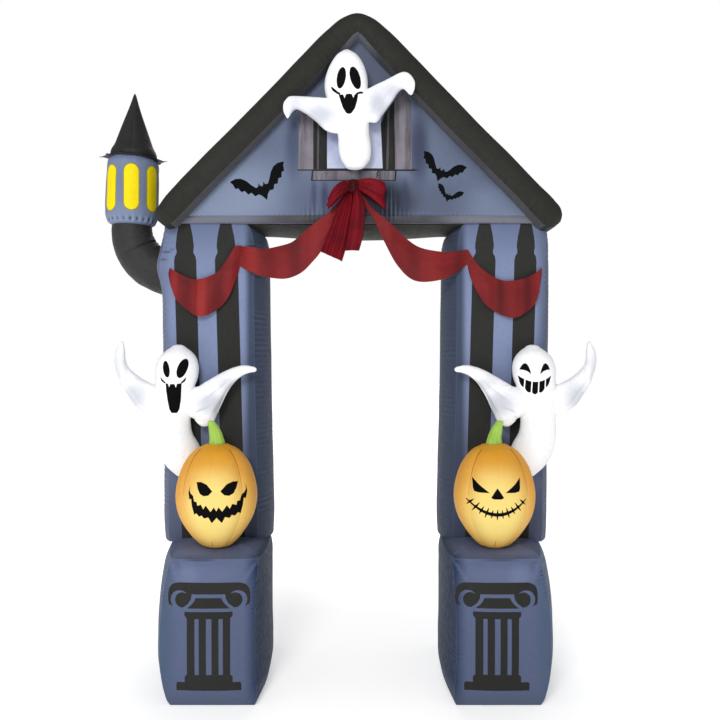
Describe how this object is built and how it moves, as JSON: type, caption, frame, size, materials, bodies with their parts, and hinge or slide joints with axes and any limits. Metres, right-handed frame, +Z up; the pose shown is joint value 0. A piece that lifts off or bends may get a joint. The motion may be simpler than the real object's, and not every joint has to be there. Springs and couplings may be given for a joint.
{
  "type": "inflatable arch",
  "caption": "Walk-through inflatable arch shaped as a haunted house front, with striped columns on pedestals, a gable, roof, turret, ghosts, pumpkins and draped swags.",
  "frame": {"origin": "on the floor under the middle of the part's bounding box", "axes": "+Z up along the arch's height, +X to the right as seen from the front, -Y out of the front"},
  "size_m": [2.1056, 0.8054, 2.7477],
  "materials": {
    "blue_cloth": "matt slate-blue ripstop polyester, faint sheen",
    "black_cloth": "matt black polyester",
    "white_cloth": "matt white polyester, lit from within",
    "orange_cloth": "yellow-orange polyester shaded at the edges",
    "green_cloth": "light green polyester",
    "red_cloth": "dull red satin cloth",
    "crimson_ribbon": "crimson satin ribbon"
  },
  "bodies": {
    "root": {"pedestal_left": "blue_cloth", "pedestal_right": "blue_cloth", "column_left": "blue_cloth", "column_right": "blue_cloth", "gable": "blue_cloth", "roof": "black_cloth", "lintel_underside": "black_cloth", "turret_pipe": "black_cloth", "turret": "blue_cloth", "turret_brim": "black_cloth", "turret_cone": "black_cloth", "pumpkin_left": "orange_cloth", "pumpkin_right": "orange_cloth", "stem_left": "green_cloth", "stem_right": "green_cloth", "ghost_left": "white_cloth", "ghost_left_raised_arm": "white_cloth", "ghost_left_spread_arm": "white_cloth", "ghost_right": "white_cloth", "ghost_right_raised_arm": "white_cloth", "ghost_right_spread_arm": "white_cloth", "ghost_window": "white_cloth", "ghost_window_left_arm": "white_cloth", "ghost_window_right_arm": "white_cloth", "swag_outer_left": "red_cloth", "swag_inner_left": "red_cloth", "swag_inner_right": "red_cloth", "swag_outer_right": "red_cloth", "bow_knot": "crimson_ribbon", "bow_loop_left": "crimson_ribbon", "bow_loop_right": "crimson_ribbon", "bow_tail_left": "crimson_ribbon", "bow_tail_front": "crimson_ribbon"}
  },
  "joints": []
}
